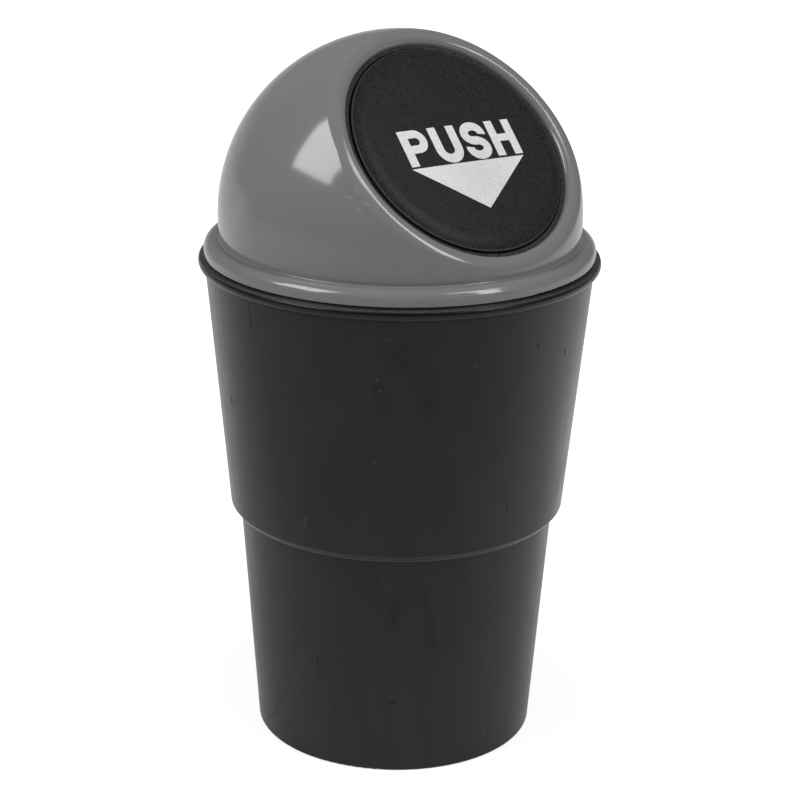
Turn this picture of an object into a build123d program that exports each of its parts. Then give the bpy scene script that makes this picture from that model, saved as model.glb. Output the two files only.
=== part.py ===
from build123d import *
import os
from math import cos, radians, sin, sqrt

# Car trash bin: a stepped cup that stands in a vehicle's cup holder, closed by a domed lid
# with a sprung push flap in a slanted round opening.
# Millimetres, +Z up, origin on the bin's axis at the foot, flap facing -Y.

# Cup
RIM_DIAMETER = 95.0  # over the rolled rim
CUP_HEIGHT = 119.6  # foot to the top of the rim
CUP_WALL = 1.6
BASE_DIAMETER = 67.2  # at the foot
STEP_DIAMETER = 75.8  # at the top of the half that drops into a cup holder
STEP_HEIGHT = 56.55  # foot to the underside of the shoulder
STEP_WIDTH = 2.2  # how far the shoulder stands out
STEP_BAND_HEIGHT = 1.5  # slanted band along the shoulder's edge
STEP_BAND_INSET = 1.05
STEP_ROUND = 0.35  # at the band's two corners
RIM_PROUD = 1.3  # rim beyond the wall's line
RIM_BEAD_RADIUS = 1.5  # section of the rolled edge
FOOT_ROUND = 0.8
FOOT_WIDTH = 2.4  # flat ring that the cup stands on
FOOT_HEIGHT = 1.2  # how far the floor is lifted inside that ring
FLOOR_THICKNESS = 1.8
FLOOR_ROUND = 2.0

# Lid
SEAT_GAP = 0.1  # flange over the rim
FLANGE_INSET = 1.3  # flange's edge inside the rim's edge
FLANGE_HEIGHT = 3.7
FLANGE_ROUND = 2.4
FLANGE_EDGE_ROUND = 0.3  # at its lower edge
FLANGE_SKIRT = 1.1  # wall of the flange's turned-down edge
SHELF_WIDTH = 3.35  # flange's top from its edge to the dome's widest circle
SHELF_ROUND = 0.2
DOME_RISE = 5.6  # centre of the dome above the flange's top
LID_WALL = 1.6
PLUG_DEPTH = 7.2  # skirt below the flange
PLUG_WALL = 1.4
PLUG_CLEARANCE = 0.15
PLUG_LEAD = 0.6  # chamfer that leads the plug into the cup

# Slanted opening
OPENING_TILT = 44.0  # its axis above the horizontal, in degrees
OPENING_DIAMETER = 56.8
LIP_WIDTH = 3.43  # from the opening's edge to the dome's unrounded corner
LIP_THICKNESS = 1.8
LIP_ROUND = 3.6  # towards the dome
LIP_EDGE_ROUND = 1.65  # towards the flap
LIP_LAND = 0.1  # least flat between those two roundings

# Frame ring behind the lip
FRAME_SEAT_GAP = 0.05
FRAME_DOME_CLEARANCE = 0.5
RING_SHOW = 1.05  # width that shows inside the opening
RING_THICKNESS = 1.2
RING_EDGE_ROUND = 0.25  # towards the flap
SPIGOT_RISE = 0.4  # ring's inner band, which stands up into the opening
SPIGOT_GAP = 0.05  # that band to the lip
SPIGOT_EDGE_ROUND = 0.08  # towards the lip
SLEEVE_DEPTH = 1.65
HOOK_REACH = 0.9  # how far each catch goes under the frame
HOOK_HEIGHT = 1.8
HOOK_WIDTH = 5.0
HOOK_ANGLES = (25.0, 155.0, 235.0, 305.0)  # about the opening's axis

# Flap
FLAP_GAP = 0.35  # all round, to the ring
FLAP_RECESS = 1.05  # flap's edge below the lip
FLAP_CROWN = 0.4  # rise of the face inside its rolled edge
FLAP_ROLL_WIDTH = 3.4  # rolled edge of the face
FLAP_ROLL_DROP = 1.1
FLAP_WALL = 1.5
FLAP_EDGE_ROUND = 0.2
STOP_OVERLAP = 0.9  # flap's stop flange under the ring
STOP_THICKNESS = 1.2
STOP_GAP = 0.1
STOP_CLEARANCE = 0.5  # stop flange to the frame's sleeve
RIB_THICKNESS = 1.2

# Hinge and spring
HINGE_STANDOFF = 1.1  # axis above the stop flange's edge
HINGE_DROP = 3.75  # axis behind the stop flange
PIN_DIAMETER = 2.0
PIN_FIT = 0.02  # held in the lugs
PIN_CLEARANCE = 0.05  # turning in the knuckles
PIN_END = 0.6  # beyond the lugs
PIN_CHAMFER = 0.2
KNUCKLE_RADIUS = 2.2
KNUCKLE_WIDTH = 2.5
KNUCKLE_SPACING = 9.4  # between the knuckles
ARM_LENGTH = 8.5  # along the flap's back
ARM_ROOT = 0.75  # let into the flap
LUG_RADIUS = 2.6
LUG_WIDTH = 2.0
LUG_GAP = 0.3
LUG_NECK = 1.0  # lug beyond the axis where it meets the sleeve
LUG_ROOT = 1.1  # let into the sleeve
BRIDGE_WIDTH = 1.4  # bar between the lugs that one spring leg bears on
BRIDGE_HEIGHT = 3.8
BRIDGE_GAP = 0.2  # below the knuckles
SPRING_WIRE = 0.6
SPRING_RADIUS = 1.75  # middle of the wire
SPRING_PITCH = 0.75
SPRING_TURNS = 5.25
SPRING_REST_GAP = 0.05
FLAP_LEG = 9.0
BRIDGE_LEG = 5.6
PAD_LENGTH = 5.0
PAD_WIDTH = 2.4

# Heights and radii that follow
rim_radius = RIM_DIAMETER / 2
mouth_radius = rim_radius - RIM_PROUD
flange_radius = rim_radius - FLANGE_INSET
flange_bottom = CUP_HEIGHT + SEAT_GAP
flange_top = flange_bottom + FLANGE_HEIGHT
shelf_bottom = flange_top - LID_WALL
plug_bottom = flange_bottom - PLUG_DEPTH
dome_radius = flange_radius - SHELF_WIDTH
dome_inner_radius = dome_radius - LID_WALL
dome_height = flange_top + DOME_RISE

# The opening's own frame: X across, Y up the slope, Z out along the opening's axis, with its
# origin at the dome's centre. Places called "level" are along that Z.
tilt = radians(OPENING_TILT)
OPENING = Plane((0, 0, dome_height), x_dir=(1, 0, 0), z_dir=(0, -cos(tilt), sin(tilt)))
opening_radius = OPENING_DIAMETER / 2
lip_level = sqrt(dome_radius**2 - (opening_radius + LIP_WIDTH) ** 2)
lip_back = lip_level - LIP_THICKNESS
lip_flat_end = sqrt((dome_radius - LIP_ROUND) ** 2 - (lip_level - LIP_ROUND) ** 2)
lip_edge_round = min(LIP_EDGE_ROUND, lip_flat_end - LIP_LAND - opening_radius)
ring_front = lip_back - FRAME_SEAT_GAP
ring_back = ring_front - RING_THICKNESS
ring_radius = opening_radius - RING_SHOW
spigot_front = ring_front + SPIGOT_RISE
spigot_radius = opening_radius - SPIGOT_GAP
frame_radius = sqrt(dome_inner_radius**2 - ring_front**2) - FRAME_DOME_CLEARANCE
sleeve_back = ring_back - SLEEVE_DEPTH
flap_radius = ring_radius - FLAP_GAP
flap_edge = lip_level - FLAP_RECESS
face_rise = FLAP_ROLL_DROP + FLAP_CROWN
stop_radius = ring_radius + STOP_OVERLAP
stop_front = ring_back - STOP_GAP
stop_back = stop_front - STOP_THICKNESS
sleeve_radius = stop_radius + STOP_CLEARANCE
hinge_rise = stop_radius + HINGE_STANDOFF
hinge_level = stop_back - HINGE_DROP
knuckle_middle = (KNUCKLE_SPACING + KNUCKLE_WIDTH) / 2
lug_inside = KNUCKLE_SPACING / 2 + KNUCKLE_WIDTH + LUG_GAP
lug_outside = lug_inside + LUG_WIDTH
bridge_near = hinge_rise + SPRING_RADIUS + SPRING_WIRE / 2 + SPRING_REST_GAP
bridge_far = bridge_near + BRIDGE_WIDTH
bridge_front = hinge_level - KNUCKLE_RADIUS - BRIDGE_GAP
bridge_back = bridge_front - BRIDGE_HEIGHT


def lower_radius(height):
    """Outside of the cup's lower half."""
    spread = (STEP_DIAMETER - BASE_DIAMETER) / 2
    return BASE_DIAMETER / 2 + spread * height / STEP_HEIGHT


def upper_radius(height):
    """Outside of the cup's upper half."""
    start = STEP_DIAMETER / 2 + STEP_WIDTH
    share = (height - STEP_HEIGHT) / (CUP_HEIGHT - STEP_HEIGHT)
    return start + (mouth_radius - start) * share


def plug_radius(height):
    """Outside of the lid's plug, which follows the cup's inside."""
    return upper_radius(height) - CUP_WALL - PLUG_CLEARANCE


def section(*corners):
    """Flat section in the XZ plane from corners of (radius, height, rounding)."""
    points = [(radius, height) for radius, height, _ in corners]
    roundings = [rounding for _, _, rounding in corners]
    return Plane.XZ * make_face(FilletPolyline(*points, radius=roundings, close=True))


def turned(face):
    """Solid of revolution about Z."""
    return revolve(face, Axis.Z)


def slab(face, start, width):
    """Solid from a face in the YZ plane, from X = start over a width."""
    return Pos(start, 0, 0) * extrude(Plane.YZ * face, width, dir=(1, 0, 0))


def block(low, high):
    """Rectangle in a flat sketch between two corners."""
    middle = ((low[0] + high[0]) / 2, (low[1] + high[1]) / 2)
    return Pos(*middle) * Rectangle(high[0] - low[0], high[1] - low[1])


def make_bin_body():
    """Stepped cup with a lifted floor and a rolled rim."""
    floor_top = FOOT_HEIGHT + FLOOR_THICKNESS
    ledge = STEP_HEIGHT + CUP_WALL
    band_top = STEP_HEIGHT + STEP_BAND_HEIGHT
    foot_inside = BASE_DIAMETER / 2 - FOOT_ROUND - FOOT_WIDTH
    wall = section(
        (0, FOOT_HEIGHT, 0),
        (foot_inside, FOOT_HEIGHT, 0),
        (foot_inside, 0, 0),
        (BASE_DIAMETER / 2, 0, FOOT_ROUND),
        (STEP_DIAMETER / 2, STEP_HEIGHT, 0),
        (upper_radius(STEP_HEIGHT) - STEP_BAND_INSET, STEP_HEIGHT, STEP_ROUND),
        (upper_radius(band_top), band_top, STEP_ROUND),
        (mouth_radius, CUP_HEIGHT, 0),
        (mouth_radius - CUP_WALL, CUP_HEIGHT, 0),
        (upper_radius(ledge) - CUP_WALL, ledge, 0),
        (lower_radius(ledge) - CUP_WALL, ledge, 0),
        (lower_radius(floor_top) - CUP_WALL, floor_top, FLOOR_ROUND),
        (0, floor_top, 0),
    )
    bead_height = CUP_HEIGHT - RIM_BEAD_RADIUS
    bead = Plane.XZ * Pos(rim_radius - RIM_BEAD_RADIUS, bead_height) * Circle(RIM_BEAD_RADIUS)
    return turned(wall + bead)


def capped_disc(radius, cap_level):
    """Half of a disc in the XZ plane, cut off flat at a level."""
    corner = sqrt(radius**2 - cap_level**2)
    rim = ThreePointArc((0, -radius), (radius, 0), (corner, cap_level))
    edges = rim + Polyline((corner, cap_level), (0, cap_level), (0, -radius))
    return make_face(edges)


def nearest_corner(face, x, y):
    """The corner of a flat sketch that lies nearest to a point."""
    return face.vertices().sort_by_distance((x, y, 0))[0]


def make_catch(angle):
    """Catch on the dome's inside that holds the frame against the lip."""
    front = sleeve_back - FRAME_SEAT_GAP
    back = front - HOOK_HEIGHT
    middle = dome_radius - LID_WALL / 2
    nose = frame_radius - HOOK_REACH
    profile = section(
        (nose, front, 0),
        (sqrt(middle**2 - front**2), front, 0),
        (sqrt(middle**2 - back**2), back, 0),
        (frame_radius, back, 0),
        (nose, front - HOOK_HEIGHT / 2, 0),
    )
    return OPENING * Rot(0, 0, angle) * extrude(profile, HOOK_WIDTH / 2, both=True)


def make_dome_lid():
    """Dome with a lipped opening, standing on a flange with a plug skirt below it."""
    shell = capped_disc(dome_radius, lip_level)
    shell = fillet(nearest_corner(shell, opening_radius + LIP_WIDTH, lip_level), LIP_ROUND)
    shell -= capped_disc(dome_inner_radius, lip_back)
    shell -= block((0, 0), (opening_radius, dome_radius))
    shell = fillet(nearest_corner(shell, opening_radius, lip_level), lip_edge_round)
    dome = OPENING * turned(Plane.XZ * shell)
    dome = split(dome, Plane.XY.offset(shelf_bottom), keep=Keep.TOP)

    root = sqrt((dome_radius - LID_WALL / 2) ** 2 - (dome_height - shelf_bottom) ** 2)
    flange = section(
        (root, flange_top, 0),
        (flange_radius, flange_top, FLANGE_ROUND),
        (flange_radius, flange_bottom, FLANGE_EDGE_ROUND),
        (flange_radius - FLANGE_SKIRT, flange_bottom, 0),
        (flange_radius - FLANGE_SKIRT, shelf_bottom, 0),
        (plug_radius(shelf_bottom), shelf_bottom, 0),
        (plug_radius(plug_bottom + PLUG_LEAD), plug_bottom + PLUG_LEAD, 0),
        (plug_radius(plug_bottom) - PLUG_LEAD, plug_bottom, 0),
        (plug_radius(plug_bottom) - PLUG_WALL, plug_bottom, 0),
        (plug_radius(shelf_bottom) - PLUG_WALL, shelf_bottom, 0),
        (root, shelf_bottom, 0),
    )
    lid = dome + turned(flange)
    foot = sqrt(dome_radius**2 - DOME_RISE**2)
    seam = lid.edges().filter_by(GeomType.CIRCLE).sort_by_distance((foot, 0, flange_top))[0]
    lid = fillet(seam, SHELF_ROUND)
    for angle in HOOK_ANGLES:
        lid += make_catch(angle)
    return lid


def pin_bore(radius):
    """Cylinder along the hinge axis, in the opening's frame."""
    return Pos(0, hinge_rise, hinge_level) * Rot(0, 90, 0) * Cylinder(radius, 4 * lug_outside)


def make_flap_frame():
    """Ring behind the lip, with a band that stands up into the opening, a sleeve round the
    flap's stop flange and a hinge bracket."""
    frame = turned(
        section(
            (ring_radius, spigot_front, RING_EDGE_ROUND),
            (spigot_radius, spigot_front, SPIGOT_EDGE_ROUND),
            (spigot_radius, ring_front, 0),
            (frame_radius, ring_front, 0),
            (frame_radius, sleeve_back, 0),
            (sleeve_radius, sleeve_back, 0),
            (sleeve_radius, ring_back, 0),
            (ring_radius, ring_back, 0),
        )
    )
    lug = Pos(hinge_rise, hinge_level) * Circle(LUG_RADIUS)
    neck_front = sleeve_back + LUG_ROOT
    lug += block((hinge_rise - LUG_RADIUS, hinge_level), (hinge_rise + LUG_NECK, neck_front))
    lug += block((hinge_rise, bridge_back), (bridge_far, hinge_level))
    bracket = slab(lug, lug_inside, LUG_WIDTH) + slab(lug, -lug_outside, LUG_WIDTH)
    bridge = block((bridge_near, bridge_back), (bridge_far, bridge_front))
    bracket += slab(bridge, -lug_outside, 2 * lug_outside)
    flap_room = Pos(0, 0, sleeve_back) * Cylinder(
        sleeve_radius, dome_radius, align=(Align.CENTER, Align.CENTER, Align.MIN)
    )
    bracket -= flap_room + pin_bore(PIN_DIAMETER / 2 + PIN_FIT)
    return OPENING * (frame + bracket)


def crowned(radius, edge_level):
    """Curve of a flap's face from its middle outwards: a slight crown, then the rolled edge."""
    roll_top = edge_level + FLAP_ROLL_DROP
    crown = TangentArc(
        (0, roll_top + FLAP_CROWN), (radius - FLAP_ROLL_WIDTH, roll_top), tangent=(1, 0)
    )
    roll = TangentArc(crown @ 1, (radius, edge_level), tangent=crown % 1)
    return crown + roll


def make_push_flap():
    """Shallow crowned dish with a stop flange, ribs, a spring pad and two hinge knuckles."""
    face = crowned(flap_radius, flap_edge)
    edge = Polyline(
        (flap_radius, flap_edge),
        (flap_radius, stop_front),
        (stop_radius, stop_front),
        (stop_radius, stop_back),
        (0, stop_back),
        (0, flap_edge + face_rise),
    )
    outside = make_face(face + edge)
    outside = fillet(nearest_corner(outside, flap_radius, flap_edge), FLAP_EDGE_ROUND)
    inner_radius = flap_radius - FLAP_WALL
    inner_edge = flap_edge - FLAP_WALL
    hollow = make_face(
        crowned(inner_radius, inner_edge)
        + Polyline(
            (inner_radius, inner_edge),
            (inner_radius, stop_back),
            (0, stop_back),
            (0, inner_edge + face_rise),
        )
    )
    solid = turned(Plane.XZ * outside)
    dish = turned(Plane.XZ * (outside - hollow))

    span = block((-stop_radius, stop_back), (stop_radius, dome_radius))
    ribs = slab(span, knuckle_middle - RIB_THICKNESS / 2, RIB_THICKNESS)
    ribs += slab(span, -knuckle_middle - RIB_THICKNESS / 2, RIB_THICKNESS)
    ribs += Rot(0, 0, 90) * slab(span, -RIB_THICKNESS / 2, RIB_THICKNESS)

    pad_tip = hinge_rise - FLAP_LEG
    pad_back = hinge_level + SPRING_RADIUS + SPRING_WIRE / 2 + SPRING_REST_GAP
    coil_end = SPRING_PITCH * SPRING_TURNS / 2
    pad = block((pad_tip - SPRING_WIRE, pad_back), (pad_tip + PAD_LENGTH, inner_edge + FLAP_WALL))

    root = stop_back + ARM_ROOT
    arm_end = flap_radius - FLAP_WALL
    arm_base = Polyline((arm_end - ARM_LENGTH, root), (arm_end, root))
    knuckle = Pos(hinge_rise, hinge_level) * Circle(KNUCKLE_RADIUS)
    arm = make_hull(knuckle.edges() + arm_base.edges())
    arms = slab(arm, KNUCKLE_SPACING / 2, KNUCKLE_WIDTH)
    arms += slab(arm, -KNUCKLE_SPACING / 2 - KNUCKLE_WIDTH, KNUCKLE_WIDTH)
    flap = dish + (ribs & solid) + slab(pad, coil_end - PAD_WIDTH / 4, PAD_WIDTH) + arms
    return OPENING * (flap - pin_bore(PIN_DIAMETER / 2 + PIN_CLEARANCE))


def make_hinge_pin():
    """Plain steel pin with chamfered ends."""
    pin = Cylinder(PIN_DIAMETER / 2, 2 * (lug_outside + PIN_END))
    pin = chamfer(pin.edges().filter_by(GeomType.CIRCLE), PIN_CHAMFER)
    return OPENING * Pos(0, hinge_rise, hinge_level) * Rot(0, 90, 0) * pin


def make_return_spring():
    """Torsion spring round the pin: one leg behind the flap's pad, one on the bridge."""
    length = SPRING_PITCH * SPRING_TURNS
    coil = Helix(SPRING_PITCH, length, SPRING_RADIUS, center=(0, 0, -length / 2))
    start, end = coil @ 0, coil @ 1
    bridge_leg = Line(start - (coil % 0) * BRIDGE_LEG, start)
    flap_leg = Line(end, end + (coil % 1) * FLAP_LEG)
    path = Wire([*bridge_leg.edges(), *coil.edges(), *flap_leg.edges()])
    wire = sweep(Plane(path @ 0, z_dir=path % 0) * Circle(SPRING_WIRE / 2), path=path)
    hinge = Plane((0, hinge_rise, hinge_level), x_dir=(0, 1, 0), z_dir=(1, 0, 0))
    return OPENING * hinge * wire


def main():
    pieces = {
        "bin_body": make_bin_body(),
        "dome_lid": make_dome_lid(),
        "flap_frame": make_flap_frame(),
        "push_flap": make_push_flap(),
        "hinge_pin": make_hinge_pin(),
        "return_spring": make_return_spring(),
    }
    os.makedirs("parts", exist_ok=True)
    for name, piece in pieces.items():
        piece.label = name
        export_step(piece, f"parts/{name}.step")


main()
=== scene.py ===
import math

import bmesh
import bpy
from mathutils import Matrix, Vector
from mathutils.bvhtree import BVHTree


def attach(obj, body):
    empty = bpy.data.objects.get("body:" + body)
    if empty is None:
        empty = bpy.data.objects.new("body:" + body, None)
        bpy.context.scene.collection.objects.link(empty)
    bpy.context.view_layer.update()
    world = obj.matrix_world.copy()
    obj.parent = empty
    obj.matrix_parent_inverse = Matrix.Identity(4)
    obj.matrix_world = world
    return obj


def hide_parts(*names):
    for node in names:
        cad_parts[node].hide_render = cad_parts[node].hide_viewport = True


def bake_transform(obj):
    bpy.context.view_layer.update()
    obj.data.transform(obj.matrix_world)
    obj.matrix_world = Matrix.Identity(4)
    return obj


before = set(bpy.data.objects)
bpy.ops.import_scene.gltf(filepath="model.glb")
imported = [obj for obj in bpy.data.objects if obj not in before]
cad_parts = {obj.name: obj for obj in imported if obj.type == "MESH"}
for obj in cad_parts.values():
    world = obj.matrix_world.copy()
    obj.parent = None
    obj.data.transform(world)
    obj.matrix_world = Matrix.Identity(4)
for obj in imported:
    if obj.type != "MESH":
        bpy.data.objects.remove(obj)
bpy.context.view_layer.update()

# Metres throughout. +Z is up, the flap faces -Y, and the cup stands on Z = 0.
MM = 0.001

# Camera, fitted to the photograph's 800 by 800 frame
PHOTO_PIXELS = 800
FOCAL_PIXELS = 2433.9
SENSOR_MM = 36.0
CAMERA_AZIMUTH = -40.0
CAMERA_ELEVATION = 19.37
CAMERA_DISTANCE = 586.8 * MM
CAMERA_NEAREST = 10 * MM
AIM_HEIGHT = 82.3 * MM
AIM_SIDE = 0.54 * MM
CAMERA_ROLL = 0.83

# Slanted opening: its own axes through the dome's centre
OPENING_TILT = math.radians(44.0)
DOME_CENTRE = Vector((0, 0, 129.0 * MM))
OUTWARD = Vector((0, -math.cos(OPENING_TILT), math.sin(OPENING_TILT)))
UPHILL = Vector((0, math.sin(OPENING_TILT), math.cos(OPENING_TILT)))
ACROSS = Vector((1, 0, 0))

# Lip of the opening, with its two roundings about the opening's axis
DOME_RADIUS = 42.85 * MM
LIP_LEVEL = 28.69 * MM  # lip's face from the dome's centre
LIP_ROUND = 3.6 * MM  # towards the dome
LIP_EDGE_ROUND = 1.65 * MM  # towards the flap
LIP_EDGE_REACH = 30.05 * MM  # middle of that rounding from the opening's axis
LIP_ROUND_REACH = math.sqrt((DOME_RADIUS - LIP_ROUND) ** 2 - (LIP_LEVEL - LIP_ROUND) ** 2)
LIP_ROUND_END = (LIP_LEVEL - LIP_ROUND) / (DOME_RADIUS - LIP_ROUND)  # cosine of its last angle
LIP_SLACK = 0.06 * MM  # how far the mesh may lie from the exact rounding
LIP_FADE = LIP_SLACK / 10

# Legend printed on the flap, in millimetres on the flap's face
PRINT_TURN = -2.7  # degrees
CAP_HEIGHT = 9.3
BASELINE = -4.05
STROKE = 2.3
OVERSHOOT = 0.25
LETTER_STARTS = {"P": -15.95, "U": -7.45, "S": 1.15, "H": 9.15}
ARROW_TOP = -4.57
ARROW_HALF_WIDTH = 16.2
ARROW_TIP = -16.7
ARC_STEP = math.radians(6)
PRINT_STEP = 1.2  # longest edge in the ink film
PRINT_SPLITS = 4
PRINT_WELD = 0.001

# Height of the ink film over the face, and of the place that it is laid down from
PRINT_FILM = 0.04 * MM
PRINT_START = 100 * MM

# Wear on the cup's wall, as (azimuth in degrees, height in millimetres)
WALL_RADIUS = 40.0  # turns an azimuth into millimetres round the wall
DARK_HAIRLINES = (
    ((-87.6, 115.9), (-87.1, 109.6)),
    ((-1.7, 69.2), (-1.7, 66.9)),
)
FAINT_ARCS = (  # each through three points
    ((-80.8, 31.5), (-87.0, 17.0), (-106.3, 3.3)),
    ((-70.6, 47.0), (-75.2, 22.6), (-93.2, 2.1)),
    ((-42.0, 26.5), (-27.3, 30.6), (-13.9, 41.1)),
    ((-47.0, 28.5), (-42.3, 30.2), (-37.2, 32.6)),
)
DARK_DASHES = (
    ((-70.2, 28.5), (-70.3, 26.3)),
    ((-70.4, 24.7), (-70.5, 24.1)),
    ((-55.3, 22.3), (-55.4, 21.8)),
    ((-41.9, 18.4), (-38.7, 19.0)),
    ((-103.7, 89.4), (-103.5, 87.5)),
    ((4.3, 107.5), (4.5, 106.5)),
    ((18.9, 103.1), (19.3, 102.1)),
)
SMEARS = (
    ((-39.7, 45.2), (-40.4, 39.1)),
    ((-30.7, 49.3), (-27.2, 40.1), (-24.9, 33.0)),
    ((-38.4, 110.7), (-37.6, 109.7)),
    ((-34.8, 106.6), (-34.0, 107.3)),
    ((-45.8, 100.6), (-43.1, 95.7)),
    ((-42.1, 108.4), (-36.3, 105.8)),
    ((-31.9, 98.2), (-29.3, 94.6)),
)
LIGHT_SCRATCHES = (
    ((-70.8, 65.6), (-70.5, 63.4)),
    ((-0.1, 7.0), (0.7, 5.3)),
)
LIGHT_DOTS = (
    (-46.1, 102.4), (-45.3, 99.8), (-46.7, 82.2), (-42.5, 112.0), (-17.6, 104.9),
    (-44.1, 51.5), (-58.5, 14.6), (-65.6, 15.3), (-66.2, 8.6), (-41.9, 21.4),
)

# Reach of those marks from their middle to their edge in millimetres, and strength of the faint ones
HAIRLINE_REACH = 0.26
ARC_REACH = 0.32
DASH_REACH = 0.45
SMEAR_REACH = 2.2
DOT_REACH = 0.3
ARC_STRENGTH = 0.45
SCRATCH_STRENGTH = 0.5
ARC_END_FADE = 0.05  # as a share of the arc's chord
ARC_SLACK = 1.0  # millimetres past the chord that still count as the arc's side

# Pale scuffs on the dome beside the opening, as (azimuth, elevation) in degrees from its centre
DOME_SCUFFS = (
    ((-54.2, 21.0), (-53.2, 20.1)),
    ((-57.1, 18.8), (-55.4, 18.4)),
    ((-51.0, 17.5), (-49.8, 16.6)),
    ((-53.1, 15.4), (-51.8, 14.8)),
)
SCUFF_REACH = 0.36 * MM
SCUFF_STRENGTH = (0.1, 0.7)

# Bands round the cup's rolled rim, by height
# grain on the roll, with a paler tone there that is a painted highlight
RIM_GRAIN_AND_HIGHLIGHT = (118.93 * MM, 119.36 * MM)
RIM_SHADE_BAND = (118.34 * MM, 118.74 * MM)  # painted shade under the roll
RIM_CREASE_SHADE = (116.25 * MM, 116.55 * MM)  # painted shade where the roll meets the wall
BAND_SOFT = 0.06 * MM

# Painted highlights on the edges of the shoulder's slanted band, by height
STEP_UPPER_HIGHLIGHT = (57.85 * MM, 58.2 * MM)
STEP_LOWER_HIGHLIGHT = (56.5 * MM, 57.1 * MM)

# Painted highlight along the flap's edge: from the opening's axis, and along it
FLAP_EDGE_HIGHLIGHT = (26.65 * MM, 26.85 * MM)
FLAP_EDGE_HIGHLIGHT_LEVEL = (27.3 * MM, 27.5 * MM)

# Thinner ink in the middle of the printed arrow
THIN_INK = (2.0 * MM, -8.5 * MM, 28.7 * MM)  # across, uphill and outward from the dome's centre
THIN_INK_REACH = 14.0 * MM

# Finishes: tone of the base colour and roughness, from least to most, and depth of the relief
BIN_TONE = (0.006, 0.0105)
BIN_ROUGHNESS = (0.27, 0.35)
BIN_RELIEF = 0.14 * MM
DOME_TONE = (0.152, 0.162)
DOME_ROUGHNESS = (0.10, 0.14)
DOME_RELIEF = 0.012 * MM
FLAP_TONE = (0.006, 0.024)
FLAP_ROUGHNESS = (0.34, 0.46)
FLAP_RELIEF = 0.06 * MM
FRAME_TONE = (0.002, 0.042)
FRAME_ROUGHNESS = (0.5, 0.7)
FRAME_RELIEF = 0.1 * MM
INK_TONE = (0.52, 0.60)  # in the arrow's middle, and away from it
INK_GRAIN = (-0.05, 0.05)
INK_RELIEF = 0.03 * MM
STEEL_TONE = (0.48, 0.60)
STEEL_ROUGHNESS = (0.24, 0.38)

# Wear, painted shade and painted highlights in those finishes: the share of the tone that they leave,
# or what they add
# share left by dark wear marks and by the painted shade round the rim
DARK_MARK_SHARE = 0.1
SMEAR_SHARE = 0.4
LIGHT_MARK_TONE = 0.06
# painted highlight on the rim's roll, through its grain
RIM_GRAIN_HIGHLIGHT_TONE = 0.035
# painted highlights on the shoulder's upper and lower edges
STEP_UPPER_HIGHLIGHT_TONE = 0.018
STEP_LOWER_HIGHLIGHT_TONE = 0.04
# painted highlight along the flap's edge
FLAP_EDGE_HIGHLIGHT_TONE = 0.035
DOME_MARK_TONE = 0.12
WORN_ROUGHNESS = 0.4
RIM_ROUGHNESS = 0.3
WALL_GRAIN = 0.05  # relief of the cup's wall as a share of the grainy rim's

# Part of a noise's values that is stretched over a finish's range
NOISE_CORE = (0.35, 0.65)
NOISE_BODY = (0.3, 0.7)
TWO_NOISES = (0.7, 1.3)  # the same for the sum of two
SMEAR_NOISE = (0.0, 0.5)

# Squeeze of a noise along each axis, which draws it out into marks along the smallest
WALL_MARKS = (1, 1, 0.12)
WIRE_MARKS = (0.15, 1, 1)

# Studio
ROOM_LEVEL = 0.21
ROOM_MIRRORED = 0.12
BACKDROP_AZIMUTH = 152.0
BACKDROP_REACH = (0.5, 1.1)  # sideways over its distance: where its light starts to fade, and is gone
BACKDROP_RISE = (0.02, 0.2)  # the same upwards
BACKDROP_LEVELS = (0.5, 0.25)  # at the horizon and higher up
NEARLY_ZERO = 0.001
FLOOR_RADIUS = 6.0
FLOOR_FADE = (0.08, 0.45)  # from the cup's axis: where close by ends, and further out begins
FLOOR_TONES = (0.60, 0.45)  # close by, and further out
FLOOR_GLOW = (0.62, 1.0)  # white that it adds for the camera, close by and further out
LIT_FLOOR_AZIMUTH = 122.0
LIT_FLOOR_REACH = (-0.1, 0.15)  # towards that side, where its mirrored light begins and is full
LIT_FLOOR_LEVEL = 0.5


def direction(azimuth, elevation):
    """Unit vector from the object towards a place given by degrees; azimuth 0 is the -Y side."""
    az, el = math.radians(azimuth), math.radians(elevation)
    return Vector((math.sin(az) * math.cos(el), -math.cos(az) * math.cos(el), math.sin(el)))


def add(tree, kind, inputs=None, **settings):
    """New node with its settings, and inputs given as plain values or as sockets to link."""
    made = tree.nodes.new(kind)
    for key, value in settings.items():
        setattr(made, key, value)
    for key, value in (inputs or {}).items():
        if isinstance(value, bpy.types.NodeSocket):
            tree.links.new(value, made.inputs[key])
        else:
            made.inputs[key].default_value = value
    return made


def new_material(name, **shader_values):
    """Material with a Principled shader, whose plain values are set on its own sockets."""
    material = bpy.data.materials.new(name)
    material.use_nodes = True
    tree = material.node_tree
    shader = tree.nodes["Principled BSDF"]
    for key, value in shader_values.items():
        shader.inputs[key.replace("_", " ")].default_value = value
    return material, tree, shader


def feed(tree, shader, **sockets):
    """Links what varies over the surface to the shader's inputs."""
    for key, socket in sockets.items():
        tree.links.new(socket, shader.inputs[key.replace("_", " ")])


def own_place(tree):
    """The shaded point's place in the object's frame."""
    return add(tree, "ShaderNodeTexCoord").outputs["Object"]


def squeezed(tree, shares):
    """The same place, times a share along each axis."""
    inputs = {"Vector": own_place(tree), "Scale": shares}
    return add(tree, "ShaderNodeMapping", inputs).outputs["Vector"]


def noise(tree, vector, scale, detail=3.0, roughness=0.5):
    """Grey noise from 0 to 1."""
    inputs = {"Vector": vector, "Scale": scale, "Detail": detail, "Roughness": roughness}
    return add(tree, "ShaderNodeTexNoise", inputs).outputs["Fac"]


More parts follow.
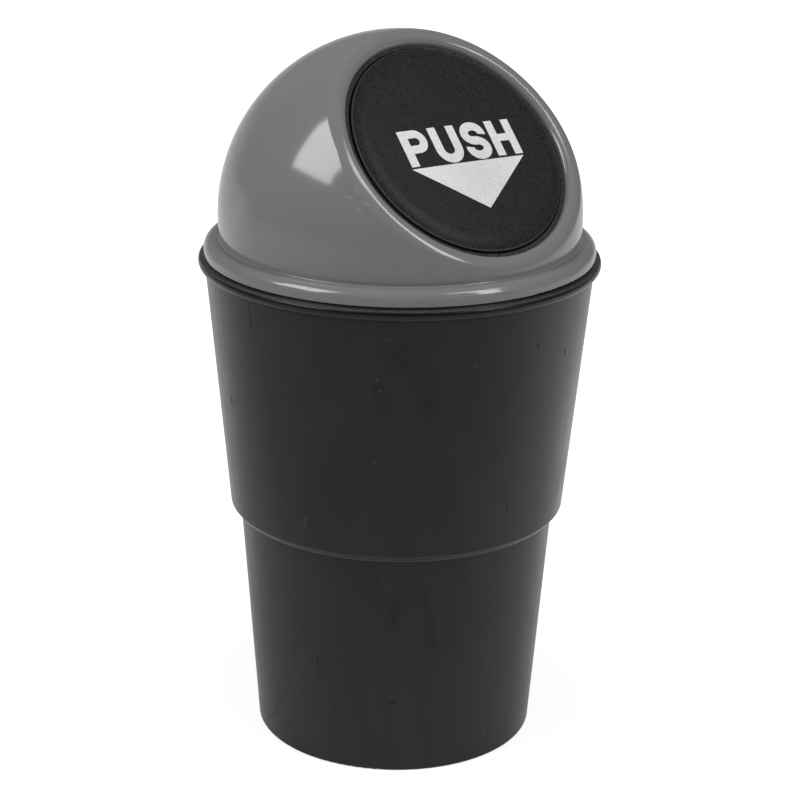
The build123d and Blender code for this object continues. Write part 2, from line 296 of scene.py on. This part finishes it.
def ranged(tree, value, low_in, high_in, low_out, high_out):
    """Value mapped from one range to another and held there."""
    limits = {"From Min": low_in, "From Max": high_in, "To Min": low_out, "To Max": high_out}
    return add(tree, "ShaderNodeMapRange", {"Value": value, **limits}).outputs["Result"]


def between(tree, share, low, high):
    """Value from low to high as a share goes from 0 to 1."""
    return ranged(tree, share, 0.0, 1.0, low, high)


def maths(tree, operation, first, second=0.0):
    """A step on one or two values."""
    return add(tree, "ShaderNodeMath", {0: first, 1: second}, operation=operation).outputs["Value"]


def step_through(tree, operation, values):
    """The same step over several values, one after another."""
    found = values[0]
    for value in values[1:]:
        found = maths(tree, operation, found, value)
    return found


def total(tree, *values):
    """Sum of values."""
    return step_through(tree, "ADD", values)


def product(tree, *values):
    """Product of values."""
    return step_through(tree, "MULTIPLY", values)


def highest(tree, *values):
    """Highest of values."""
    return step_through(tree, "MAXIMUM", values)


def vector_maths(tree, operation, first, second):
    """A step on two vectors; a distance or a dot product comes out as a value."""
    made = add(tree, "ShaderNodeVectorMath", {0: first, 1: second}, operation=operation)
    single = operation in ("DISTANCE", "DOT_PRODUCT")
    return made.outputs["Value" if single else "Vector"]


def scaled(tree, vector, factor):
    """A vector times a value."""
    made = add(tree, "ShaderNodeVectorMath", {0: vector, "Scale": factor}, operation="SCALE")
    return made.outputs["Vector"]


def length(tree, vector):
    """A vector's length."""
    return add(tree, "ShaderNodeVectorMath", {0: vector}, operation="LENGTH").outputs["Value"]


def unit(tree, vector):
    """A vector's direction."""
    return add(tree, "ShaderNodeVectorMath", {0: vector}, operation="NORMALIZE").outputs["Vector"]


def height_of(tree, vector):
    """A vector's part along Z."""
    return add(tree, "ShaderNodeSeparateXYZ", {"Vector": vector}).outputs["Z"]


def grey_mix(tree, factor, dark, light):
    """Colour between two greys."""
    inputs = {"Factor": factor, "A": (*[dark] * 3, 1), "B": (*[light] * 3, 1)}
    return add(tree, "ShaderNodeMix", inputs, data_type="RGBA").outputs["Result"]


def vector_mix(tree, factor, first, second):
    """Vector between two others."""
    inputs = {"Factor": factor, "A": first, "B": second}
    return add(tree, "ShaderNodeMix", inputs, data_type="VECTOR").outputs["Result"]


def bump(tree, shader, height, distance, normal=None):
    """Relief from a height of 0 to 1 over a distance, on the mesh's normal or a given one."""
    made = add(tree, "ShaderNodeBump", {"Height": height, "Distance": distance})
    if normal is not None:
        tree.links.new(normal, made.inputs["Normal"])
    feed(tree, shader, Normal=made.outputs["Normal"])


def band(tree, value, low, high, soft):
    """1 between two values, with soft edges."""
    above = ranged(tree, value, low - soft, low + soft, 0.0, 1.0)
    below = ranged(tree, value, high - soft, high + soft, 1.0, 0.0)
    return product(tree, above, below)


def near(tree, away, reach):
    """1 at no distance, fading to 0 over a reach."""
    return ranged(tree, away, 0.0, reach, 1.0, 0.0)


def line_marks(tree, place, lines, reach):
    """1 along lines through given points, fading to 0 over their reach."""
    found = 0.0
    for points in lines:
        for start, end in zip(points, points[1:]):
            along = end - start
            offset = vector_maths(tree, "SUBTRACT", place, start)
            share = vector_maths(tree, "DOT_PRODUCT", offset, along / along.length_squared)
            foot = scaled(tree, along, between(tree, share, 0.0, 1.0))
            away = vector_maths(tree, "DISTANCE", offset, foot)
            found = highest(tree, found, near(tree, away, reach))
    return found


def wall_point(azimuth, height):
    """Place on the cup's wall in millimetres: round the wall, and up it."""
    return Vector((math.radians(azimuth) * WALL_RADIUS, height, 0))


def wall_place(tree):
    """The shaded point's own place on the cup's wall, in the same millimetres."""
    parts = add(tree, "ShaderNodeSeparateXYZ", {"Vector": own_place(tree)}).outputs
    azimuth = maths(tree, "ARCTAN2", parts["X"], product(tree, parts["Y"], -1.0))
    around = product(tree, azimuth, WALL_RADIUS)
    up = maths(tree, "DIVIDE", parts["Z"], MM)
    return add(tree, "ShaderNodeCombineXYZ", {"X": around, "Y": up}).outputs["Vector"]


def wall_marks(tree, place, marks, reach):
    """1 along the marks on the cup's wall, fading to 0 over their reach."""
    lines = [[wall_point(*point) for point in mark] for mark in marks]
    return line_marks(tree, place, lines, reach)


def circle_through(start, middle, end):
    """Centre of the circle through three points of a plane."""
    first, second = middle - start, end - start
    turn = 2 * (first.x * second.y - first.y * second.x)
    across = first * second.length_squared - second * first.length_squared
    return start + Vector((-across.y, across.x, 0)) / turn


def wall_arcs(tree, place, arcs, reach):
    """1 along round arcs on the cup's wall, fading to 0 over their reach and at their ends."""
    found = 0.0
    for arc_points in arcs:
        start, middle, end = [wall_point(*point) for point in arc_points]
        centre = circle_through(start, middle, end)
        chord = end - start
        rise = middle - start - chord * ((middle - start).dot(chord) / chord.length_squared)
        offset = vector_maths(tree, "SUBTRACT", place, start)
        share = vector_maths(tree, "DOT_PRODUCT", offset, chord / chord.length_squared)
        side = vector_maths(tree, "DOT_PRODUCT", offset, rise.normalized())
        near_side = maths(tree, "GREATER_THAN", side, -ARC_SLACK)
        within = product(tree, band(tree, share, 0.0, 1.0, ARC_END_FADE), near_side)
        from_centre = vector_maths(tree, "DISTANCE", place, centre)
        away = maths(tree, "ABSOLUTE", maths(tree, "SUBTRACT", from_centre, (start - centre).length))
        found = highest(tree, found, product(tree, near(tree, away, reach), within))
    return found


def wall_dots(tree, place, dots, reach):
    """1 at dots on the cup's wall, fading to 0 over their reach."""
    found = 0.0
    for dot in dots:
        away = vector_maths(tree, "DISTANCE", place, wall_point(*dot))
        found = highest(tree, found, near(tree, away, reach))
    return found


def specks(tree, vector, scale, share, size):
    """1 on a few scattered dots: a share of the cells of a given scale, each with one dot."""
    cells = add(tree, "ShaderNodeTexVoronoi", {"Vector": vector, "Scale": scale}).outputs
    pick = add(tree, "ShaderNodeSeparateColor", {"Color": cells["Color"]}).outputs["Red"]
    chosen = maths(tree, "LESS_THAN", pick, share)
    return product(tree, chosen, maths(tree, "LESS_THAN", cells["Distance"], size))


def wall_wear(tree, place):
    """Dark hairlines, dashes and faint arcs on the cup's wall, from 0 to 1."""
    hairs = wall_marks(tree, place, DARK_HAIRLINES, HAIRLINE_REACH)
    dashes = wall_marks(tree, place, DARK_DASHES, DASH_REACH)
    arcs = product(tree, wall_arcs(tree, place, FAINT_ARCS, ARC_REACH), ARC_STRENGTH)
    return highest(tree, hairs, dashes, arcs)


def wall_dust(tree, coords, place):
    """Pale scratches, dots and scattered dust on the cup, from 0 to 1."""
    scratches = wall_marks(tree, place, LIGHT_SCRATCHES, HAIRLINE_REACH)
    dots = wall_dots(tree, place, LIGHT_DOTS, DOT_REACH)
    dust = specks(tree, coords, scale=160.0, share=0.05, size=0.035)
    return highest(tree, product(tree, scratches, SCRATCH_STRENGTH), dots, dust)


def make_bin_black():
    """Satin black moulded plastic with faint draw marks, wear, dust and grain on its rim; painted
    highlights on the rim's roll and the shoulder's edges, painted shade under the roll and where it
    meets the wall.
    """
    material, tree, shader = new_material("bin_black", Specular_IOR_Level=0.35)
    coords = own_place(tree)
    place = wall_place(tree)
    height = height_of(tree, coords)
    streaks = noise(tree, squeezed(tree, WALL_MARKS), scale=220.0)
    clouds = noise(tree, coords, scale=60.0, detail=4.0)
    cloudy = ranged(tree, total(tree, streaks, clouds), *TWO_NOISES, 0.0, 1.0)
    grain = noise(tree, coords, scale=2400.0, detail=2.0)
    # the roll's grain and roughness, and its painted highlight
    grain_and_highlight = band(tree, height, *RIM_GRAIN_AND_HIGHLIGHT, BAND_SOFT)
    # painted shade under the roll
    rim_shade = band(tree, height, *RIM_SHADE_BAND, BAND_SOFT)
    # painted shade in the crease under the roll
    crease_shade = band(tree, height, *RIM_CREASE_SHADE, BAND_SOFT)
    worn = wall_wear(tree, place)
    # dark wear marks, and the painted shade round the rim
    dark = highest(tree, worn, rim_shade, crease_shade)
    smears = wall_marks(tree, place, SMEARS, SMEAR_REACH)
    smears = product(tree, smears, noise(tree, coords, scale=700.0))
    tone = between(tree, cloudy, *BIN_TONE)
    tone = product(tree, tone, between(tree, dark, 1.0, DARK_MARK_SHARE))
    tone = product(tree, tone, ranged(tree, smears, *SMEAR_NOISE, 1.0, SMEAR_SHARE))
    tone = total(
        tree,
        tone,
        product(tree, wall_dust(tree, coords, place), LIGHT_MARK_TONE),
        product(tree, grain_and_highlight, ranged(tree, grain, *NOISE_CORE, 0.0, RIM_GRAIN_HIGHLIGHT_TONE)),
        # painted highlights on the shoulder's edges
        product(tree, band(tree, height, *STEP_UPPER_HIGHLIGHT, BAND_SOFT), STEP_UPPER_HIGHLIGHT_TONE),
        product(tree, band(tree, height, *STEP_LOWER_HIGHLIGHT, BAND_SOFT), STEP_LOWER_HIGHLIGHT_TONE),
    )
    roughness = total(
        tree,
        between(tree, cloudy, *BIN_ROUGHNESS),
        product(tree, worn, WORN_ROUGHNESS),
        product(tree, grain_and_highlight, RIM_ROUGHNESS),
    )
    feed(tree, shader, Base_Color=tone, Roughness=roughness)
    bump(tree, shader, product(tree, grain, between(tree, grain_and_highlight, WALL_GRAIN, 1.0)), BIN_RELIEF)
    return material


def opening_place(tree):
    """The point from the dome's centre, its part away from the opening's axis, and its level on it."""
    offset = vector_maths(tree, "SUBTRACT", own_place(tree), DOME_CENTRE)
    level = vector_maths(tree, "DOT_PRODUCT", offset, OUTWARD)
    sideways = vector_maths(tree, "SUBTRACT", offset, scaled(tree, OUTWARD, level))
    return offset, sideways, level


def lip_normal(tree):
    """The surface's normal, worked out exactly on the lip's flat and its two roundings."""
    offset, sideways, level = opening_place(tree)
    reach = length(tree, sideways)
    slope = maths(tree, "DIVIDE", level, length(tree, offset))
    on_lip = maths(tree, "GREATER_THAN", slope, LIP_ROUND_END)
    on_edge = product(tree, on_lip, maths(tree, "LESS_THAN", reach, LIP_EDGE_REACH))
    dome_side = maths(tree, "MAXIMUM", maths(tree, "SUBTRACT", reach, LIP_ROUND_REACH), 0.0)
    flap_side = maths(tree, "MINIMUM", maths(tree, "SUBTRACT", reach, LIP_EDGE_REACH), 0.0)
    normal = add(tree, "ShaderNodeNewGeometry").outputs["Normal"]
    for aside, size, chosen in ((dome_side, LIP_ROUND, on_lip), (flap_side, LIP_EDGE_ROUND, on_edge)):
        rise = maths(tree, "SUBTRACT", level, LIP_LEVEL - size)
        outwards = scaled(tree, sideways, maths(tree, "DIVIDE", aside, reach))
        away = vector_maths(tree, "ADD", outwards, scaled(tree, OUTWARD, rise))
        fits = band(tree, length(tree, away), size - LIP_SLACK, size + LIP_SLACK, LIP_FADE)
        normal = vector_mix(tree, product(tree, fits, chosen), normal, unit(tree, away))
    return normal


def dome_scuffs(tree, coords):
    """Uneven pale scuffs on the dome, from 0 to 1."""
    lines = [[DOME_CENTRE + direction(*end) * DOME_RADIUS for end in scuff] for scuff in DOME_SCUFFS]
    patchy = ranged(tree, noise(tree, coords, scale=1400.0), *NOISE_CORE, *SCUFF_STRENGTH)
    return product(tree, line_marks(tree, coords, lines, SCUFF_REACH), patchy)


def make_dome_grey():
    """Glossy grey moulded plastic, a little wavy as moulded skins are, with dust and scuffs."""
    material, tree, shader = new_material("dome_grey")
    coords = own_place(tree)
    clouds = noise(tree, coords, scale=30.0)
    dust = specks(tree, coords, scale=220.0, share=0.05, size=0.04)
    light = highest(tree, dust, dome_scuffs(tree, coords))
    tone = ranged(tree, clouds, *NOISE_BODY, *DOME_TONE)
    tone = total(tree, tone, product(tree, light, DOME_MARK_TONE))
    feed(tree, shader, Base_Color=tone, Roughness=ranged(tree, clouds, *NOISE_BODY, *DOME_ROUGHNESS))
    waves = noise(tree, coords, scale=110.0, detail=2.0)
    bump(tree, shader, waves, DOME_RELIEF, lip_normal(tree))
    return material


def make_flap_black():
    """Black plastic with a fine sparked texture, with a painted highlight along the flap's edge."""
    material, tree, shader = new_material("flap_black", Specular_IOR_Level=0.12)
    grain = noise(tree, own_place(tree), scale=2700.0, detail=2.0, roughness=0.6)
    _, sideways, level = opening_place(tree)
    # painted highlight along the flap's edge
    edge_highlight = product(
        tree,
        ranged(tree, length(tree, sideways), *FLAP_EDGE_HIGHLIGHT, 0.0, FLAP_EDGE_HIGHLIGHT_TONE),
        ranged(tree, level, *FLAP_EDGE_HIGHLIGHT_LEVEL, 0.0, 1.0),
    )
    tone = total(tree, ranged(tree, grain, *NOISE_CORE, *FLAP_TONE), edge_highlight)
    feed(tree, shader, Base_Color=tone, Roughness=ranged(tree, grain, *NOISE_BODY, *FLAP_ROUGHNESS))
    bump(tree, shader, grain, FLAP_RELIEF)
    return material


def make_frame_black():
    """The same black plastic with a coarser sparked texture."""
    material, tree, shader = new_material("frame_black", Specular_IOR_Level=0.2)
    grain = noise(tree, own_place(tree), scale=2000.0, detail=2.0, roughness=0.65)
    tone = ranged(tree, grain, *NOISE_CORE, *FRAME_TONE)
    feed(tree, shader, Base_Color=tone, Roughness=ranged(tree, grain, *NOISE_BODY, *FRAME_ROUGHNESS))
    bump(tree, shader, grain, FRAME_RELIEF)
    return material


def make_print_white():
    """Pale ink on the flap's texture, thinner in the middle of the arrow."""
    material, tree, shader = new_material("print_white", Roughness=0.55)
    coords = own_place(tree)
    across, uphill, outward = THIN_INK
    middle = DOME_CENTRE + ACROSS * across + UPHILL * uphill + OUTWARD * outward
    away = vector_maths(tree, "DISTANCE", coords, middle)
    grain = noise(tree, coords, scale=2100.0, detail=2.0)
    ink = ranged(tree, away, 0.0, THIN_INK_REACH, *INK_TONE)
    feed(tree, shader, Base_Color=total(tree, ink, ranged(tree, grain, *NOISE_CORE, *INK_GRAIN)))
    bump(tree, shader, grain, INK_RELIEF)
    return material


def make_steel():
    """Bright drawn steel with fine marks along the wire."""
    material, tree, shader = new_material("steel", Metallic=1.0)
    marks = noise(tree, squeezed(tree, WIRE_MARKS), scale=2500.0)
    roughness = ranged(tree, marks, *NOISE_BODY, *STEEL_ROUGHNESS)
    feed(tree, shader, Base_Color=grey_mix(tree, marks, *STEEL_TONE), Roughness=roughness)
    return material


def dress(node, material):
    """Gives a CAD node its finish."""
    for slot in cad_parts[node].material_slots:
        slot.material = material


def arc(centre, radii, start, end):
    """Points along part of an ellipse, angles in degrees."""
    first, last = math.radians(start), math.radians(end)
    count = max(2, math.ceil(abs(last - first) / ARC_STEP))
    angles = [first + (last - first) * i / count for i in range(count + 1)]
    return [(centre[0] + radii[0] * math.cos(a), centre[1] + radii[1] * math.sin(a)) for a in angles]


def ribbon(path, width):
    """Outline of a stroke of even width along a path."""
    left, right = [], []
    for i, (x, y) in enumerate(path):
        before, after = path[max(i - 1, 0)], path[min(i + 1, len(path) - 1)]
        along = Vector((after[0] - before[0], after[1] - before[1])).normalized()
        left.append((x - along.y * width / 2, y + along.x * width / 2))
        right.append((x + along.y * width / 2, y - along.x * width / 2))
    return left + right[::-1]


def letter_p():
    """Stem and bowl, with the bowl's counter as a second outline."""
    bowl = 3.0
    counter = 0.95
    bowl_from_left = 4.2
    middle = (bowl_from_left, CAP_HEIGHT - bowl)
    outside = [(0, 0), (STROKE, 0), (STROKE, CAP_HEIGHT - 2 * bowl)]
    outside += arc(middle, (bowl, bowl), -90, 90) + [(0, CAP_HEIGHT)]
    inside = [(STROKE, middle[1] - counter)]
    inside += arc(middle, (counter, counter), -90, 90) + [(STROKE, middle[1] + counter)]
    return [outside, inside]


def letter_u():
    """Two stems joined by a round foot."""
    half_width = 3.75
    bend = half_width - STROKE / 2
    middle = (half_width, half_width - OVERSHOOT)
    path = [(middle[0] - bend, CAP_HEIGHT)]
    path += arc(middle, (bend, bend), 180, 360) + [(middle[0] + bend, CAP_HEIGHT)]
    return [ribbon(path, STROKE)]


def letter_s():
    """Two bends that meet in the middle of the letter."""
    thinning = 0.1
    stroke = STROKE - thinning
    from_left = 3.5
    wide = 2.4
    tail = 12  # degrees that each bend runs past its side
    middle = CAP_HEIGHT / 2
    tall = (middle + OVERSHOOT - stroke / 2) / 2
    upper = arc((from_left, middle + tall), (wide, tall), -tail, 270)
    lower = arc((from_left, middle - tall), (wide, tall), 90, -180 - tail)
    return [ribbon(upper + lower[1:], stroke)]


def letter_h():
    """Two stems and a bar."""
    width = 7.3
    bar_low = 3.75
    bar_high = 5.65
    inner = width - STROKE
    return [
        [
            (0, 0), (STROKE, 0), (STROKE, bar_low), (inner, bar_low), (inner, 0), (width, 0),
            (width, CAP_HEIGHT), (inner, CAP_HEIGHT), (inner, bar_high), (STROKE, bar_high),
            (STROKE, CAP_HEIGHT), (0, CAP_HEIGHT),
        ]
    ]


def legend_outlines():
    """Closed outlines of the word and of the arrow under it, on the flap's face."""
    makers = {"P": letter_p, "U": letter_u, "S": letter_s, "H": letter_h}
    outlines = []
    for name, start in LETTER_STARTS.items():
        for outline in makers[name]():
            outlines.append([(start + x, BASELINE + y) for x, y in outline])
    outlines.append([(-ARROW_HALF_WIDTH, ARROW_TOP), (0, ARROW_TIP), (ARROW_HALF_WIDTH, ARROW_TOP)])
    return outlines


def flat_fill(outlines):
    """Mesh of filled outlines, with holes where one lies inside another."""
    curve = bpy.data.curves.new("legend_outline", "CURVE")
    curve.dimensions = "2D"
    curve.fill_mode = "BOTH"
    for outline in outlines:
        spline = curve.splines.new("POLY")
        spline.points.add(len(outline) - 1)
        for point, (x, y) in zip(spline.points, outline):
            point.co = (x, y, 0, 1)
        spline.use_cyclic_u = True
    carrier = bpy.data.objects.new("legend_outline", curve)
    mesh = bpy.data.meshes.new_from_object(carrier)
    bpy.data.objects.remove(carrier)
    bpy.data.curves.remove(curve)
    return mesh


def lay_on_flap(film):
    """Turns a flat film and lays it down on the flap's crowned face."""
    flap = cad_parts["push_flap"].data
    surface = BVHTree.FromPolygons(
        [v.co for v in flap.vertices], [tuple(p.vertices) for p in flap.polygons]
    )
    turn = Matrix.Rotation(math.radians(PRINT_TURN), 3, "Z")
    for vert in film.verts:
        place = turn @ vert.co * MM
        start = DOME_CENTRE + ACROSS * place.x + UPHILL * place.y + OUTWARD * PRINT_START
        hit = surface.ray_cast(start, -OUTWARD)[0]
        vert.co = hit + OUTWARD * PRINT_FILM


def make_legend(material):
    """Ink film of the word and the arrow, fine enough to follow the flap's face."""
    mesh = flat_fill(legend_outlines())
    film = bmesh.new()
    film.from_mesh(mesh)
    bmesh.ops.remove_doubles(film, verts=film.verts, dist=PRINT_WELD)
    bmesh.ops.triangulate(film, faces=film.faces)
    for _ in range(PRINT_SPLITS):
        long_edges = [e for e in film.edges if e.calc_length() > PRINT_STEP]
        bmesh.ops.subdivide_edges(film, edges=long_edges, cuts=1)
        bmesh.ops.triangulate(film, faces=film.faces)
    lay_on_flap(film)
    bmesh.ops.recalc_face_normals(film, faces=film.faces)
    film.to_mesh(mesh)
    film.free()
    mesh.name = "push_legend"
    mesh.materials.append(material)
    legend = bpy.data.objects.new("push_legend", mesh)
    bpy.context.scene.collection.objects.link(legend)
    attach(legend, "flap")


def make_spring(material):
    """Return spring: a copy of the CAD spring's mesh in the given finish, standing in for the hidden
    CAD node.
    """
    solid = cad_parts["return_spring"]
    spring = bpy.data.objects.new("torsion_spring", solid.data.copy())
    bpy.context.scene.collection.objects.link(spring)
    spring.data.materials.clear()
    spring.data.materials.append(material)
    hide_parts("return_spring")
    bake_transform(spring)


def make_camera():
    """Camera at the photograph's viewing angle."""
    side = direction(CAMERA_AZIMUTH + 90, 0)
    back = direction(CAMERA_AZIMUTH, CAMERA_ELEVATION)
    aim = Vector((0, 0, AIM_HEIGHT)) + side * AIM_SIDE
    data = bpy.data.cameras.new("camera")
    data.sensor_width = SENSOR_MM
    data.lens = FOCAL_PIXELS / PHOTO_PIXELS * SENSOR_MM
    data.clip_start = CAMERA_NEAREST
    camera = bpy.data.objects.new("camera", data)
    up = back.cross(side)
    turn = Matrix((side, up, back)).transposed().to_4x4()
    roll = Matrix.Rotation(math.radians(CAMERA_ROLL), 4, "Z")
    camera.matrix_world = Matrix.Translation(aim + back * CAMERA_DISTANCE) @ turn @ roll
    bpy.context.scene.collection.objects.link(camera)
    bpy.context.scene.camera = camera


def make_softbox(name, azimuth, elevation, distance, size, brightness, turn=0.0, mirrored=True):
    """Rectangular lamp that faces the dome; its brightness is that of its face, with white as 1."""
    data = bpy.data.lights.new(name, "AREA")
    data.shape = "RECTANGLE"
    data.size, data.size_y = size
    data.energy = brightness * math.pi * size[0] * size[1]
    lamp = bpy.data.objects.new(name, data)
    towards = direction(azimuth, elevation)
    facing = towards.to_track_quat("Z", "Y").to_matrix().to_4x4()
    roll = Matrix.Rotation(math.radians(turn), 4, "Z")
    lamp.matrix_world = Matrix.Translation(DOME_CENTRE + towards * distance) @ facing @ roll
    lamp.visible_glossy = mirrored
    bpy.context.scene.collection.objects.link(lamp)


def make_lamps():
    """Three softboxes that the dome mirrors, and two broad fills that it doesn't."""
    left = {"azimuth": -104.5, "elevation": 40, "distance": 0.9}
    front = {"azimuth": 20, "elevation": 40, "distance": 1.0}
    top = {"azimuth": 28, "elevation": 60, "distance": 1.0}
    front_low = {"azimuth": 22, "elevation": 25, "distance": 1.2}
    left_low = {"azimuth": -126, "elevation": 5, "distance": 1.2}
    broad = (1.2, 0.6)
    make_softbox("left_softbox", **left, size=(0.48, 0.46), brightness=8.3)
    make_softbox("front_softbox", **front, size=(0.58, 0.21), brightness=9.0, turn=72)
    make_softbox("top_softbox", **top, size=(0.44, 0.14), brightness=7.5, turn=-15)
    make_softbox("front_fill", **front_low, size=broad, brightness=2.1, mirrored=False)
    make_softbox("left_fill", **left_low, size=broad, brightness=1.3, mirrored=False)


def make_world():
    """White for the camera; reflections and bounced light see a dim room with a lit backdrop."""
    world = bpy.data.worlds.new("studio")
    bpy.context.scene.world = world
    world.use_nodes = True
    tree = world.node_tree
    background = tree.nodes["Background"]
    background.inputs["Color"].default_value = (1, 1, 1, 1)
    coords = add(tree, "ShaderNodeTexCoord").outputs["Generated"]
    behind = vector_maths(tree, "DOT_PRODUCT", coords, direction(BACKDROP_AZIMUTH, 0))
    behind = highest(tree, behind, NEARLY_ZERO)
    aside = vector_maths(tree, "DOT_PRODUCT", coords, direction(BACKDROP_AZIMUTH + 90, 0))
    aside = maths(tree, "DIVIDE", maths(tree, "ABSOLUTE", aside), behind)
    height = maths(tree, "DIVIDE", height_of(tree, coords), behind)
    wide = ranged(tree, aside, *BACKDROP_REACH, 1.0, 0.0)
    high = ranged(tree, height, *BACKDROP_RISE, *BACKDROP_LEVELS)
    backdrop = product(tree, wide, high)
    path = add(tree, "ShaderNodeLightPath").outputs
    dim = between(tree, path["Is Glossy Ray"], ROOM_LEVEL, ROOM_MIRRORED)
    level = highest(tree, backdrop, dim, path["Is Camera Ray"], path["Is Transmission Ray"])
    feed(tree, background, Strength=level)


def make_pale_floor():
    """Floor's finish: its own tone and shadow close by, plain white for the camera further out."""
    material, tree, shader = new_material("floor", Roughness=0.9, Specular_IOR_Level=0.0)
    shader.inputs["Emission Color"].default_value = (1, 1, 1, 1)
    coords = own_place(tree)
    far = ranged(tree, length(tree, coords), *FLOOR_FADE, 0.0, 1.0)
    path = add(tree, "ShaderNodeLightPath").outputs
    seen = highest(tree, path["Is Camera Ray"], path["Is Transmission Ray"])
    seen = product(tree, seen, between(tree, far, *FLOOR_GLOW))
    behind = vector_maths(tree, "DOT_PRODUCT", coords, direction(LIT_FLOOR_AZIMUTH, 0))
    lit = ranged(tree, behind, *LIT_FLOOR_REACH, 0.0, LIT_FLOOR_LEVEL)
    glow = highest(tree, seen, product(tree, path["Is Glossy Ray"], lit))
    feed(tree, shader, Base_Color=grey_mix(tree, far, *FLOOR_TONES), Emission_Strength=glow)
    return material


def make_floor():
    """Round floor that the object stands on."""
    mesh = bpy.data.meshes.new("floor")
    shape = bmesh.new()
    bmesh.ops.create_circle(shape, cap_ends=True, radius=FLOOR_RADIUS, segments=96)
    shape.to_mesh(mesh)
    shape.free()
    mesh.materials.append(make_pale_floor())
    floor = bpy.data.objects.new("floor", mesh)
    bpy.context.scene.collection.objects.link(floor)


steel = make_steel()
dress("bin_body", make_bin_black())
dress("dome_lid", make_dome_grey())
dress("flap_frame", make_frame_black())
dress("push_flap", make_flap_black())
dress("hinge_pin", steel)
make_spring(steel)
make_legend(make_print_white())

make_camera()
make_world()
make_floor()
make_lamps()
bpy.context.scene.view_settings.view_transform = "Standard"
